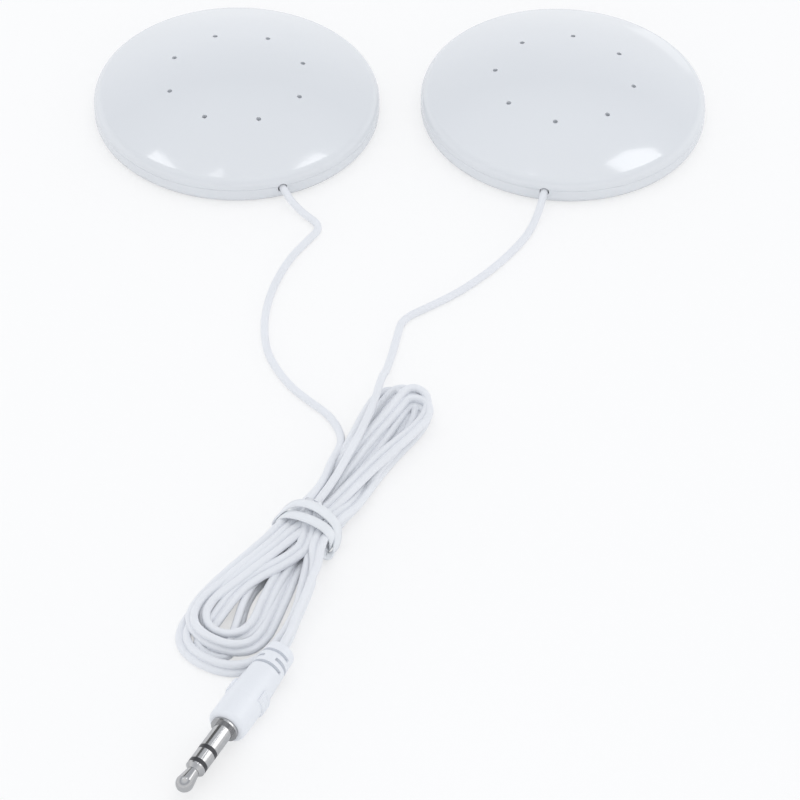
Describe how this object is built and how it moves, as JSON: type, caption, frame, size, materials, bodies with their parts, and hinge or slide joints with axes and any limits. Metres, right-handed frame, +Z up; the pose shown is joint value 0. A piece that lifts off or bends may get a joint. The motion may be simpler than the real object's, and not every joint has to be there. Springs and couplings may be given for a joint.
{
  "type": "pillow speaker",
  "caption": "Flat domed stereo pillow speakers on thin white leads, with a tied hank of twin cord and a stereo plug.",
  "frame": {"origin": "on the resting surface, in the middle of the box round the two speakers, under the middle between them", "axes": "+X from the left speaker's centre to the right one's, +Z up out of the domed fronts, cords and plug towards -Y"},
  "size_m": [0.1244, 0.2135, 0.0102],
  "materials": {
    "shell": "glossy",
    "cord": "satin",
    "tie": "satin",
    "boot": "satin",
    "contact": "polished",
    "insulator": "satin",
    "cloth": "matt",
    "pressed_steel": "plated",
    "plated_steel": "plated",
    "magnet": "nickel plated",
    "film": "translucent film",
    "copper_wire": "enamelled winding",
    "foam": "foam",
    "board": "laminate",
    "wire_skin": "satin"
  },
  "bodies": {
    "root": {"left_front_shell": "shell", "left_rear_shell": "shell", "left_dust_cloth": "cloth", "left_driver_frame": "pressed_steel", "left_diaphragm": "film", "left_voice_coil": "copper_wire", "left_top_plate": "plated_steel", "left_magnet": "magnet", "left_yoke": "plated_steel", "left_gasket": "foam", "left_terminal_board": "board", "left_cord_knot": "cord", "left_signal_wire": "wire_skin", "left_return_wire": "wire_skin", "right_front_shell": "shell", "right_rear_shell": "shell", "right_dust_cloth": "cloth", "right_driver_frame": "pressed_steel", "right_diaphragm": "film", "right_voice_coil": "copper_wire", "right_top_plate": "plated_steel", "right_magnet": "magnet", "right_yoke": "plated_steel", "right_gasket": "foam", "right_terminal_board": "board", "right_cord_knot": "cord", "right_signal_wire": "wire_skin", "right_return_wire": "wire_skin", "plug_body": "boot", "plug_sleeve": "contact", "plug_ring": "contact", "plug_tip": "contact", "front_insulator": "insulator", "rear_insulator": "insulator", "left_lead": "cord", "right_lead": "cord", "cord_hank": "cord", "plug_lead": "cord", "cord_tie": "tie"}
  },
  "joints": []
}
